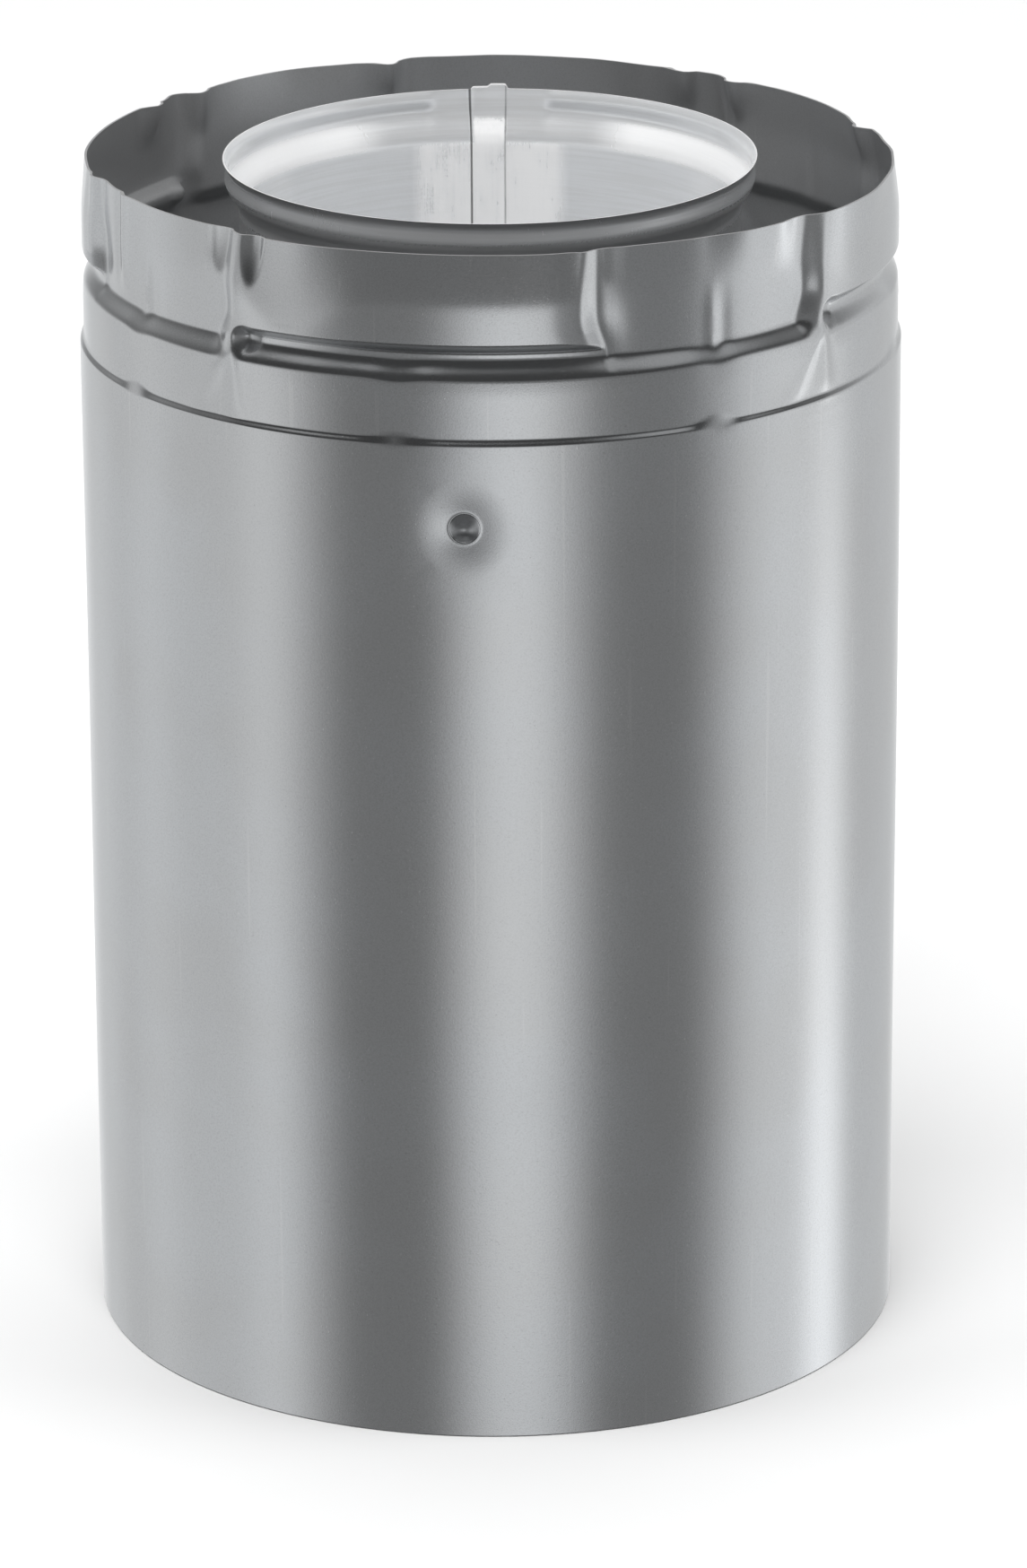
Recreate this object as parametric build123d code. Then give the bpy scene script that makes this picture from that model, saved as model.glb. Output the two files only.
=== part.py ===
# Coaxial direct vent pipe extension.
#
# A straight length of twin-wall flue: a galvanised steel casing, an aluminium
# flue pipe inside it on the same axis, and three bent straps that hold the
# flue in the middle of the casing.  The upper end of the casing is the male
# end of a twist-lock joint: a collar that is one sheet smaller than the body,
# with four entry slots pressed into its rim and a locking groove that runs
# from the foot of each slot to a rounded stop.
#
# Millimetres.  +Z is up, the origin is the centre of the casing's lower rim.
# An angle is measured round the axis from the front (-Y), anticlockwise seen
# from above, so +X is at 90 degrees.

import os
from math import cos, radians, sin

from build123d import *

# ---- casing: the outer pipe ----
body_radius = 84.14  # 6 5/8 inch over the body
casing_sheet = 0.46
overall_height = 247.75
joint_clearance = 0.28  # between a collar and the casing that drops over it
collar_length = 37.5
shoulder_rise = 1.3
lead_in_length = 23.9  # the lands lean in over this length, up to the rim
lead_in_taper = 0.8

# ---- entry slots in the rim of the collar ----
slot_count = 4
slot_angle = 31.75  # the middle of the first slot
slot_half_width = 18.75  # degrees, from the middle to the edge of a land
slot_wall_run = 3.0  # degrees that the side wall of a slot takes
slot_depth = 3.3  # at the foot of the side walls
slot_bow = 0.9  # how far the floor bows back out in the middle
slot_length = 23.5
slot_ledge_rise = 2.0
slot_bend_radius = 1.5

# ---- locking grooves under the lands ----
groove_middle = 20.5  # below the rim
groove_width = 7.0
groove_depth = 2.6
groove_stop_gap = 4.0  # degrees from the next slot to the end of the groove

# ---- clinched buttons that fasten the straps ----
strap_count = 3
strap_angle = -3.7
clinch_below_rim = 54.66
clinch_radius = 3.1
clinch_depth = 1.0
clinch_corner_radius = 0.5

# ---- flue: the inner pipe ----
flue_radius = 51.4  # outside of the straight wall
flue_sheet = 0.3
flue_rim_drop = 0.6  # below the rim of the casing
bell_length = 10.4
bell_flare = 3.2  # at the rim, over the straight wall
bell_bead = 2.9
bell_waist = 2.5
bell_bead_drop = 4.0
bell_waist_drop = 2.0
bell_bend_radius = 1.2
spigot_length = 28.0
spigot_clearance = 0.15
spigot_taper = 2.0
flue_foot_height = 6.0  # the flue ends this far above the casing's lower rim

# ---- lock seam down the back of the flue ----
seam_angle = 180.0
seam_width = 7.6  # degrees
seam_fold = 0.9
slit_width = 0.5  # degrees
slit_depth = 0.6

# ---- straps between casing and flue ----
strap_sheet = 0.6
strap_width = 19.0
strap_crown_half = 9.0  # degrees
strap_leg_splay = 11.0  # degrees from the middle of the strap to a foot's heel
strap_foot = 9.0  # degrees
strap_bend_radius = 2.5
seat_gap = 0.1

# ---- sizes that follow ----
casing_bore_radius = body_radius - casing_sheet
collar_radius = casing_bore_radius - joint_clearance
shoulder_top = overall_height - collar_length + shoulder_rise
shoulder_foot = overall_height - collar_length
flue_rim_height = overall_height - flue_rim_drop
flue_bore_radius = flue_radius - flue_sheet
spigot_radius = flue_bore_radius - spigot_clearance
clinch_height = overall_height - clinch_below_rim
slot_foot = overall_height - slot_length
slot_pitch = 360 / slot_count
strap_pitch = 360 / strap_count
beyond = 20.0  # how far tools reach past the sheet that they cut


def around(radius, angle):
    """The point at that radius and angle, with the angle measured from the front."""
    turned = radians(angle - 90)
    return (radius * cos(turned), radius * sin(turned))


def turned_to(angle):
    """The rotation that brings +X round to the angle."""
    return Rot(0, 0, angle - 90)


def slotted_plan():
    """The collar seen from above: a disc with one shallow recess for each slot."""
    plan = Circle(collar_radius)
    for slot in range(slot_count):
        middle = slot_angle + slot * slot_pitch
        floor_half = slot_half_width - slot_wall_run
        start, end = middle - slot_half_width, middle + slot_half_width
        floor_radius = collar_radius - slot_depth
        mouth_radius = collar_radius + beyond
        recess = make_face(
            [
                Line(around(mouth_radius, start), around(collar_radius, start)),
                Line(around(collar_radius, start), around(floor_radius, middle - floor_half)),
                ThreePointArc(
                    around(floor_radius, middle - floor_half),
                    around(floor_radius + slot_bow, middle),
                    around(floor_radius, middle + floor_half),
                ),
                Line(around(floor_radius, middle + floor_half), around(collar_radius, end)),
                Line(around(collar_radius, end), around(mouth_radius, end)),
                Line(around(mouth_radius, end), around(mouth_radius, start)),
            ]
        )
        plan -= recess
    return fillet(plan.vertices(), slot_bend_radius)


def slot_tool(inset):
    """Everything outside the slotted plan and above the sloping foot of the slots."""
    plan = slotted_plan()
    if inset:
        plan = offset(plan, -inset)
    foot = slot_foot - inset
    top = overall_height + beyond
    reach = collar_radius + beyond / 2
    waste = extrude(Circle(reach) - plan, top)
    floor_radius = collar_radius - slot_depth - beyond / 2
    slope = slot_ledge_rise / slot_depth
    inner_foot = foot + slope * (collar_radius - floor_radius)
    outer_foot = foot - slope * (reach + beyond - collar_radius)
    above_ledge = make_face(
        Polyline(
            (floor_radius, inner_foot),
            (reach + beyond, outer_foot),
            (reach + beyond, top),
            (floor_radius, top),
            close=True,
        )
    )
    return waste & revolve(Plane.XZ * above_ledge, Axis.Z)


def groove_tools(inset):
    """The locking grooves: a ring sector with a ball at its stop, once for each slot."""
    half = groove_width / 2
    ball_radius = (half**2 + groove_depth**2) / (2 * groove_depth)
    centre_radius = collar_radius - groove_depth + ball_radius
    height = overall_height - groove_middle
    land = slot_pitch - 2 * slot_half_width
    slot_start = slot_angle - slot_half_width
    stop = slot_start - land + groove_stop_gap
    run = slot_start + slot_wall_run - stop
    section = Plane.XZ * Pos(centre_radius, height) * Circle(ball_radius + inset)
    channel = revolve(section, Axis.Z, run)
    ball = Pos(centre_radius, 0, height) * Sphere(ball_radius + inset)
    tools = [
        turned_to(stop + slot * slot_pitch) * piece
        for slot in range(slot_count)
        for piece in (channel, ball)
    ]
    return tools


def clinch_punch(inset):
    """The round punch of one clinched button, pressed in from outside at angle 90."""
    depth = clinch_depth + inset
    punch = Cylinder(clinch_radius + inset, depth + beyond, align=(Align.CENTER, Align.CENTER, Align.MIN))
    punch = fillet(punch.edges().filter_by(GeomType.CIRCLE).sort_by(Axis.Z)[0], clinch_corner_radius + inset)
    return Pos(body_radius - depth, 0, clinch_height) * Rot(0, 90, 0) * punch


def clinch_tools(inset):
    """The punch of every clinched button."""
    return [turned_to(strap_angle + strap * strap_pitch) * clinch_punch(inset) for strap in range(strap_count)]


def casing_form(inset):
    """The casing's outside as a solid, or, with an inset, the space inside its sheet."""
    low = -beyond if inset else 0
    high = overall_height + (beyond / 2 if inset else 0)
    lead_in_foot = overall_height - lead_in_length
    lean = lead_in_taper / lead_in_length
    profile = make_face(
        Polyline(
            (0, low),
            (body_radius - inset, low),
            (body_radius - inset, shoulder_foot),
            (collar_radius - inset, shoulder_top),
            (collar_radius - inset, lead_in_foot),
            (collar_radius - inset - lean * (high - lead_in_foot), high),
            (0, high),
            close=True,
        )
    )
    form = revolve(Plane.XZ * profile, Axis.Z)
    form -= slot_tool(inset)
    for tool in groove_tools(inset) + clinch_tools(inset):
        form -= tool
    return form


def outer_pipe():
    """The casing: its outside less the space inside its sheet."""
    return casing_form(0) - casing_form(casing_sheet)


def flue_outline():
    """Half of the flue's outside, from the axis out, long enough to be trimmed."""
    bell_foot = flue_rim_height - bell_length
    spigot_top = flue_foot_height + spigot_length
    wall = FilletPolyline(
        (spigot_radius, flue_foot_height - beyond),
        (spigot_radius, spigot_top),
        (flue_radius, spigot_top + spigot_taper),
        (flue_radius, bell_foot),
        (flue_radius + bell_bead, flue_rim_height - bell_bead_drop),
        (flue_radius + bell_waist, flue_rim_height - bell_waist_drop),
        (flue_radius + bell_flare, flue_rim_height),
        (flue_radius + bell_flare, flue_rim_height + beyond),
        radius=bell_bend_radius,
    )
    back = Polyline(wall @ 1, (0, flue_rim_height + beyond), (0, flue_foot_height - beyond), wall @ 0)
    return make_face([*wall.edges(), *back.edges()])


def flue_layer(outer_shift, inner_shift):
    """The part of the outline between two offsets of it, trimmed to the flue's length."""
    outline = flue_outline()
    outer = offset(outline, outer_shift) if outer_shift else outline
    inner = offset(outline, inner_shift) if inner_shift else outline
    trim = Pos(flue_radius, (flue_rim_height + flue_foot_height) / 2) * Rectangle(
        flue_radius, flue_rim_height - flue_foot_height
    )
    return Plane.XZ * ((outer - inner) & trim)


def inner_pipe():
    """The flue: its turned wall with the folded lock seam down the back."""
    wall = revolve(flue_layer(0, -flue_sheet), Axis.Z)
    fold = revolve(flue_layer(seam_fold, -flue_sheet / 2), Axis.Z, seam_width)
    slit = revolve(flue_layer(slit_depth - flue_sheet, -flue_sheet - slit_depth), Axis.Z, slit_width)
    seam_start = seam_angle - seam_width / 2
    pipe = wall + turned_to(seam_start) * fold
    return pipe - turned_to(seam_start + seam_width - 2 * slit_width) * slit


def strap():
    """One hat-shaped strap at angle 90: crown on the casing, feet on the flue."""
    crown = casing_bore_radius - seat_gap - strap_sheet / 2
    foot = flue_radius + seat_gap + strap_sheet / 2
    toe = strap_leg_splay + strap_foot
    side = 90

    def arc(radius, start, end):
        return ThreePointArc(
            around(radius, side + start), around(radius, side + (start + end) / 2), around(radius, side + end)
        )

    line = Curve() + [
        arc(foot, -toe, -strap_leg_splay),
        Line(around(foot, side - strap_leg_splay), around(crown, side - strap_crown_half)),
        arc(crown, -strap_crown_half, strap_crown_half),
        Line(around(crown, side + strap_crown_half), around(foot, side + strap_leg_splay)),
        arc(foot, strap_leg_splay, toe),
    ]
    path = Wire(line.edges())
    bends = [v for v in path.vertices() if min((path @ 0 - v.center()).length, (path @ 1 - v.center()).length) > 1]
    path = path.fillet_2d(strap_bend_radius, bends)
    section = trace(path, strap_sheet)
    bent = Pos(0, 0, clinch_height - strap_width / 2) * extrude(section, strap_width)
    pocket = casing_sheet + seat_gap
    room = Pos(0, 0, clinch_height) * Cylinder(casing_bore_radius - seat_gap, strap_width)
    cup = clinch_punch(pocket + strap_sheet) & room
    return bent + cup - clinch_punch(pocket)


os.makedirs("parts", exist_ok=True)
export_step(outer_pipe(), "parts/outer_pipe.step")
export_step(inner_pipe(), "parts/inner_pipe.step")
one_strap = strap()
for number in range(strap_count):
    placed = turned_to(strap_angle + number * strap_pitch) * one_strap
    export_step(placed, f"parts/standoff_strap_{number + 1}.step")
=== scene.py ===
# %% [markdown]
# # A direct vent pipe length, dressed for its photograph
# The object is a twin-wall vent length: a galvanised steel casing, an aluminium flue pipe inside
# it, and three bent straps that hold the flue in the middle. The solid model gives every piece its
# size and place. This file gives them the shapes that a press leaves in thin sheet, and the metals.

# %% Load the frame
import math

import bpy
import numpy as np
from mathutils import Matrix, Vector


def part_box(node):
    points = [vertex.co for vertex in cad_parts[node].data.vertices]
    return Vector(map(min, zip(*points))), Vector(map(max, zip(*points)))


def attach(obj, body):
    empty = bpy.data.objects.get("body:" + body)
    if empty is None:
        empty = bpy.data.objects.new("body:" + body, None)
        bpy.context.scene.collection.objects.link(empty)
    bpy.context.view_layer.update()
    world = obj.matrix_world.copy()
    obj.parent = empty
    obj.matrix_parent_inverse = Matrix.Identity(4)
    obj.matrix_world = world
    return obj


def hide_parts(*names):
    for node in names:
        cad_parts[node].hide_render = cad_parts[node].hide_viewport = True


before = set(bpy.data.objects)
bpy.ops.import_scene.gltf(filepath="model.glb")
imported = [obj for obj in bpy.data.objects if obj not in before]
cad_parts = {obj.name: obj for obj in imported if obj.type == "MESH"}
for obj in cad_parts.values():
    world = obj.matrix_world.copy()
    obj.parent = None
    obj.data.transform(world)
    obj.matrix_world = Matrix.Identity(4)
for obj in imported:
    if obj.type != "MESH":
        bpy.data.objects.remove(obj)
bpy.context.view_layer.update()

print("nodes:", sorted(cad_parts))

# %% [markdown]
# Blender works in metres, but sheet metal is easier to think about in millimetres. So the shapes
# below are worked out in millimetres and turned into metres once, when a mesh is made. The pieces'
# outer sizes are read from the solid model; the sheet thicknesses and a few other sizes are given below.

# %% Sizes that the solid model already knows
MM = 0.001
casing_low, casing_high = (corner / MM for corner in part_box("outer_pipe"))
flue_low, flue_high = (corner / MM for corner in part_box("inner_pipe"))
casing_height = casing_high.z
body_radius = casing_high.x
flue_rim_radius = flue_high.x
flue_top = flue_high.z
flue_foot = flue_low.z
print(f"casing {casing_height:.2f} mm high, {2 * body_radius:.2f} mm across")
print(f"flue rim {2 * flue_rim_radius:.2f} mm across, {flue_foot:.1f} to {flue_top:.1f} mm up")

# %% [markdown]
# ## The camera
# The view is matched with a few plain numbers: how far away and how high the camera stands, how far
# it looks down, and how long its lens is. A long lens from a good distance keeps the pipe's sides
# almost parallel, as they are in the photograph. The camera is made first, because everything after
# it is judged through it.

# %% Camera
camera_distance = 1.48882
camera_height = 0.626165
camera_pitch = 0.33288
camera_pan = 0.00281
camera_roll = -0.00483
camera_lens = 172.63

camera_data = bpy.data.cameras.new("camera")
camera_data.lens = camera_lens
camera = bpy.data.objects.new("camera", camera_data)
bpy.context.scene.collection.objects.link(camera)
bpy.context.scene.camera = camera
turn_level = Matrix.Rotation(math.pi / 2 - camera_pitch, 4, "X")
turn_aside = Matrix.Rotation(-camera_pan, 4, "Z")
turn_over = Matrix.Rotation(camera_roll, 4, "Z")
stand = Matrix.Translation((0, -camera_distance, camera_height))
camera.matrix_world = stand @ turn_aside @ turn_level @ turn_over
print("camera at", tuple(round(c, 3) for c in camera.matrix_world.translation))

# %% [markdown]
# ## Thinking of sheet as a height map
# A pipe's wall can be written as one question: how far from the axis is the sheet, at this angle and
# this height? Every press mark is then an amount to add or take away, and the marks can overlap and
# blend as they do in real metal. Cutting the marks with booleans would leave knife edges, and
# sculpting them could not be repeated. Angles are in degrees from the front, growing to the right.

# %% Soft steps and bumps
def ease(amount):
    """0 below 0 and 1 above 1, with a gentle start and end."""
    amount = np.clip(amount, 0, 1)
    return amount * amount * (3 - 2 * amount)


def bend(amount, softness=0.22):
    """0 below 0 and 1 above 1 with a straight slope between: how sheet turns over a tool's edge."""
    amount = np.asarray(amount, float)
    return 0.5 * (1 + np.hypot(amount, softness) - np.hypot(amount - 1, softness))


def bump(distance, width):
    """1 in the middle, fading to nothing about two widths away."""
    return np.exp(-((np.asarray(distance, float) / width) ** 2))


def above_zero(amount, softness):
    """The amount where it is positive and nothing elsewhere, with the corner rounded."""
    return 0.5 * (amount + np.hypot(amount, softness))


def around(angle, middle):
    """How many degrees an angle lies from a middle, the short way round."""
    return (np.asarray(angle, float) - middle + 180) % 360 - 180


arc_mm = body_radius * math.pi / 180
print(f"one degree is {arc_mm:.3f} mm of casing")

# %% [markdown]
# ## The collar
# The upper end of the casing is squeezed a little smaller, so that it fits inside the next length.
# A ring of dies does this, and where two dies meet, the sheet isn't pressed as sharply: the photo
# shows the step fade out for a few millimetres there. Those joints come every 45 degrees.

# %% The shoulder, and the joints between the dies
collar_step = 0.74
collar_length = 37.5
shoulder_foot = casing_height - collar_length
shoulder_rise = 0.82
die_joint_angle = -13
die_joint_pitch = 45
die_joint_width = 2.6
die_joint_softening = 0.16


def die_joint(angle):
    """1 where two dies met, 0 under the dies."""
    offset = (np.asarray(angle, float) - die_joint_angle + die_joint_pitch / 2) % die_joint_pitch
    return bump((offset - die_joint_pitch / 2) / die_joint_width, 1)


def shoulder(angle, height):
    """How far the collar steps in at this height."""
    rise = shoulder_rise * (1 + 2.9 * die_joint(angle))
    foot = shoulder_foot - 0.2 - 0.8 * die_joint(angle)
    return collar_step * bend((height - foot) / rise, 0.12)


print(f"shoulder at {shoulder_foot:.2f} mm")

# %% [markdown]
# ## The entry slots
# Four shallow slots are pressed into the rim. Lugs on the next length drop into them and then turn
# along the grooves. Each slot is a product of three soft steps: a wall on its left, a wall on its
# right, and a ledge at its foot. The floor bows out in the middle, because only its sides were held.

# %% Entry slots
slot_count = 4
slot_pitch = 360 / slot_count
slot_angle = 32.2
slot_half = 20.0
slot_depth = 3.3
slot_bow = 0.7
left_wall_run = 3.8
right_wall_run = 4.0
left_droop = 0.12
left_droop_reach = 6.5
left_foot_narrowing = 2.4
right_foot_narrowing = 1.6
mouth_widening = 0.8
ledge_top = 20.5
ledge_flat = 0.45
flank_run = 4.7
tail_share = 0.12
tail_run = 7.8


def from_slot(angle):
    """Degrees from the middle of the nearest slot."""
    turned = np.asarray(angle, float) - slot_angle + slot_pitch / 2
    return turned % slot_pitch - slot_pitch / 2


def half_wave(amount):
    """1 below 0 and 0 above 1, along half a wave: the flank of a rolled groove."""
    return 0.5 * (1 + np.cos(math.pi * np.clip(amount, 0, 1)))


def flank_profile(distance):
    """From 1 down to 0 across a flank, with a long soft tail where the sheet was drawn in."""
    steep = half_wave((distance - ledge_flat) / (flank_run - ledge_flat))
    return steep + tail_share * (half_wave((distance - ledge_flat) / tail_run) - steep)


def lower_flank(angle, below):
    """1 above the ledge, easing to 0 below it. Between dies the sheet turns over more gently."""
    return flank_profile((below - ledge_top) / (1 + die_joint_softening * die_joint(angle)))


def entry_slot(angle, below):
    """How deep the slots are pressed at this angle, this far below the rim."""
    turn = from_slot(angle)
    left_half = slot_half * arc_mm - left_foot_narrowing * ease((below - 13) / 9)
    right_half = slot_half * arc_mm - right_foot_narrowing * ease((below - 15.5) / 7)
    right_half = right_half + mouth_widening * above_zero(1 - below / 9.5, 0.1)
    left = bend((turn * arc_mm + left_half) / left_wall_run)
    droop = ease((turn * arc_mm + left_half + left_droop_reach) / left_droop_reach)
    left = left + left_droop * (droop - left)
    run = right_wall_run - 0.9 * bump(below - 14.5, 3.8)
    right = bend((right_half - turn * arc_mm) / run, 0.28)
    bow = 1 - (turn / slot_half) ** 2
    return (slot_depth - slot_bow * bow) * left * right * lower_flank(angle, below)


print("slots at", [slot_angle + slot_pitch * n for n in range(slot_count)])

# %% [markdown]
# ## The locking grooves
# Under each land, a groove runs from the slot to a round stop. Seen from the side it is a line with
# a round end, so its depth depends only on the distance to that line, with the same soft flank as
# the ledge of the slots. At the stop, a ball-ended punch has pressed a second, deeper dish, and its
# edge is crisp because no die stood behind it.

# %% Locking grooves
groove_middle = ledge_top
groove_depth = 2.6
groove_run = 52.0
upper_run = 2.9
stop_angle = -35.9
stop_steepness = 1.5
dish_half = 3.0
dish_extra = 0.6


def locking_groove(angle, below):
    """How deep the grooves and their stops are pressed."""
    along = ((np.asarray(angle, float) - stop_angle + 20) % slot_pitch - 20) * arc_mm
    past_end = np.maximum(np.maximum(-along * stop_steepness, along - groove_run * arc_mm), 0)
    drop = below - groove_middle
    eased = drop / (1 + die_joint_softening * die_joint(angle) * (drop > 0))
    eased = np.where(eased < 0, eased * flank_run / upper_run, eased)
    from_line = np.hypot(past_end, eased)
    plain = half_wave((from_line - ledge_flat) / (flank_run - ledge_flat))
    tailed = ease(drop / 2.0) * ease(along / 4.0)
    groove = groove_depth * (plain + (flank_profile(from_line) - plain) * tailed)
    from_stop = np.hypot(along - 0.4, drop) / dish_half
    return groove + dish_extra * above_zero(1 - from_stop**2, 0.12)


print(f"groove {2 * flank_run:.1f} mm wide with its flanks, stops from {stop_angle} degrees on")

# %% [markdown]
# ## The rim isn't true
# Pressing a slot drags the thin rim about. A row of numbers for each slot says how far the rim
# strays at a few stations, read one by one, and a smooth curve joins them. Downwards the lean ends in a
# soft kink, where the sheet folded over the edge of the tool. Beside the slot walls the sheet was
# pinched into small tongue-shaped dents. Those get a list of their own: place, depth, width, length.

# %% How the rim strays
lean_foot = 9.8
lean_foot_extra = 7.5
rim_stations = (-6, -1.5, 1.5, 4.5, 9, 19, 27, 32, 36, 38.5, 41, 45, 52, 64, 76)
rim_strays = (
    (-1.4, -1.5, -0.1, -0.2, -0.6, -0.2, 1.0, 1.2, 0.6, 0.9, 0.3, 0.5, 0.5, -0.5, -1.3),
    (-2.4, -2.3, -1.9, -1.9, -1.2, -0.9, -0.8, -1.0, -1.0, -2.0, -2.4, -2.5, -2.7, -0.7, 0.2),
    (-0.4, 0.1, 0.0, -0.1, 1.1, 2.1, 1.7, 1.0, 0.3, -0.1, -0.2, -1.8, -1.2, -1.0, -0.8),
    (-1.1, -1.0, 0.5, 0.0, -0.2, -0.6, -0.8, -1.0, -0.6, -1.2, -1.8, -2.0, -1.75, -1.75, -1.6),
)
pinches = (
    (-34.8, 1.2, 2.9, 9.5), (-41.6, 0.9, 3.4, 9.0), (17.2, 0.35, 2.6, 7.5), (103.8, 1.4, 2.6, 8.0),
    (138.6, 1.8, 3.2, 9.0), (149.0, 1.9, 3.0, 9.0), (195.6, 1.9, 2.6, 8.0), (229.4, 1.2, 3.2, 9.0),
    (239.7, 1.9, 3.0, 9.0),
)
station_list = [slot_angle - slot_half + slot_pitch * n + u for n in range(slot_count) for u in rim_stations]
stray_list = [stray for row in rim_strays for stray in row]


def rim_stray(angle):
    """A smooth closed curve through the stations."""
    first = station_list[0]
    turned = (np.asarray(angle, float) - first) % 360 + first
    knots = np.array(station_list + [first + 360])
    values = np.array(stray_list + [stray_list[0]])
    right = np.clip(np.searchsorted(knots, turned, side="right"), 1, len(knots) - 1)
    share = (turned - knots[right - 1]) / (knots[right] - knots[right - 1])
    return values[right - 1] + (values[right] - values[right - 1]) * ease(share)


def rim_lean(angle, below):
    """How far the rim's stray moves the sheet at this depth. It reaches lower beside the stops."""
    from_stop = (np.asarray(angle, float) - stop_angle - 7 + 45) % slot_pitch - 45
    foot = lean_foot + lean_foot_extra * bump(from_stop, 7)
    return rim_stray(angle) * above_zero(1 - below / foot, 0.16)


def pinch(angle, below):
    """Tongue-shaped dents that hang down from the rim beside the slot walls."""
    depth = 0
    for middle, deep, half_width, length in pinches:
        across = around(angle, middle) * arc_mm / half_width
        depth = depth + deep * above_zero(1 - across**2 - (below / length) ** 2, 0.1)
    return depth


print(f"rim strays from {min(stray_list)} to {max(stray_list)} mm")

# %% [markdown]
# ## Creases and puckers
# Where the ledge crosses a die joint, a crease runs up the slot's floor. Below each slot's lower
# right corner, the sheet had more length than it needed, and it gathered into two small ridges that
# fan out like flames. They are small, but they catch the light, and the eye looks for them.

# %% Creases and puckers
pucker_angle = 52.2
pucker_top = 23.5
pucker_length = 13.0
fold_angle = -66.3


def crease(angle, below):
    """The crease above the ledge at a die joint, and the dimple under it."""
    turn = from_slot(angle)
    across = (turn - 0.2) * arc_mm
    reach = ease((below - 7) / 10) * ease((24 - below) / 3)
    joint = 0.24 * reach * (bump(across, 1.3) - 0.7 * bump(across - 2.8, 1.7))
    across = around(angle, fold_angle) * arc_mm
    reach = ease((21 - below) / 8)
    return joint + 0.5 * reach * (bump(across - 1.2, 1.5) - bump(across + 1.2, 1.5))


def puckers(angle, below):
    """Soft ridges below the slot's right corner, and a hollow beside its left wall."""
    across = ((np.asarray(angle, float) - pucker_angle + 45) % slot_pitch - 45) * arc_mm
    down = np.clip((below - pucker_top) / pucker_length, 0, 1.5)
    fade = ease((below - pucker_top + 2.5) / 5) * ease(2.6 * (1.2 - down))
    left = bump(across + 0.2 + 10.0 * down, 1.1 + 2.0 * down)
    right = bump(across - 0.3 - 0.6 * down, 1.0 + 1.7 * down)
    turn = from_slot(angle)
    hollow = 0.55 * bump((turn + 16.6 - 0.16 * (below - 13)) / 2.4, 1) * bump(below - 13.5, 6.0)
    return 0.25 * fade * (left + right) - hollow


print(f"puckers from {pucker_top} mm below the rim")

# %% [markdown]
# ## The clinched buttons
# A clinch joins casing and strap with no rivet: a punch drives both sheets into a die, and leaves a
# round dish with a thin raised lip. This dish is deepest below its middle, as if the punch came in
# slightly from above, and the blow has pulled the wall around it into a soft hollow.

# %% Clinched buttons
button_angles = (-3.7, 116.3, 236.3)
button_drop = 54.66
button_height = casing_height - button_drop
dish_radius = 2.9
dish_depth = 1.35
dish_lean = 0.9
lip_radius = 3.12
lip_height = 0.09
hollow_depth = 0.75
hollow_radius = 6.6


def from_button(angle, height):
    """Distance from the nearest button's middle, in millimetres on the sheet."""
    steps = [np.abs(around(angle, middle)) for middle in button_angles]
    across = np.minimum.reduce(steps) * arc_mm
    return np.hypot(across, height - button_height)


def button(angle, height):
    """How far the sheet is pressed in around the buttons."""
    distance = from_button(angle, height)
    lean = 1 - dish_lean * np.clip((height - button_height) / dish_radius, -1, 1)
    dish = dish_depth * lean * above_zero(1 - (distance / dish_radius) ** 2, 0.07)
    lip = lip_height * bump(distance - lip_radius, 0.22)
    return dish - lip + hollow_depth * bump(distance, hollow_radius)


print("buttons at", button_angles, f"and {button_height:.2f} mm up")

# %% [markdown]
# ## The whole outside of the casing
# All the marks come together in one function. Two small truths are added here: the long wall isn't
# perfectly even, which makes reflections swim a little, and a weld bead runs down the back.

# %% The casing's outside
weld_angle = 180.0
weld_height = 0.2
weld_width = 1.5
wall_wander = 0.035


def wander(angle, height):
    """Slow unevenness of the rolled wall."""
    turn = np.radians(angle)
    return wall_wander * (np.sin(5 * turn + height / 23) + np.sin(3 * turn - height / 31 + 1.3))


def casing_outside(angle, height):
    """Distance from the axis to the outside of the casing."""
    below = casing_height - height
    collar = ease((height - shoulder_foot + 4) / 6)
    radius = body_radius - shoulder(angle, height) + wander(angle, height) * (1 - collar)
    pressed = np.maximum(entry_slot(angle, below), locking_groove(angle, below))
    radius = radius - pressed + rim_lean(angle, below) - pinch(angle, below)
    radius = radius + crease(angle, below) + puckers(angle, below) - button(angle, height)
    return radius + weld_height * bump(around(angle, weld_angle) * arc_mm, weld_width)


print(f"rim at the front: {float(casing_outside(0, casing_height)):.2f} mm from the axis")

# %% [markdown]
# ## Rolling a sheet
# A real sheet has two sides and a cut edge. The inside is the outside moved in by the sheet's
# thickness. On a slope it has to move further towards the axis, or the sheet would look thinner
# there. Blender's Solidify modifier does the same job, but it lets tight bends cross themselves,
# and here the height map makes sure that they can't.

# %% The two sides of a sheet
most_slope_factor = 1.7


def slope_factor(surface, angle, height):
    """How much further the inside moves in, where the sheet slopes."""
    step_angle, step_height = 0.05, 0.05
    across = surface(angle + step_angle, height) - surface(angle - step_angle, height)
    upward = surface(angle, height + step_height) - surface(angle, height - step_height)
    across = across / (2 * step_angle * arc_mm)
    upward = upward / (2 * step_height)
    return np.minimum(np.sqrt(1 + across**2 + upward**2), most_slope_factor)


def inner_side(surface, thickness):
    """The inside of a sheet, as a height map of its own."""
    return lambda angle, height: surface(angle, height) - thickness * slope_factor(surface, angle, height)


def stops(*stretches):
    """Positions from (start, end, step) stretches that follow each other."""
    parts = []
    for start, end, step in stretches:
        parts.append(np.linspace(start, end, max(1, round((end - start) / step)), endpoint=False))
    return np.concatenate(parts)


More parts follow.
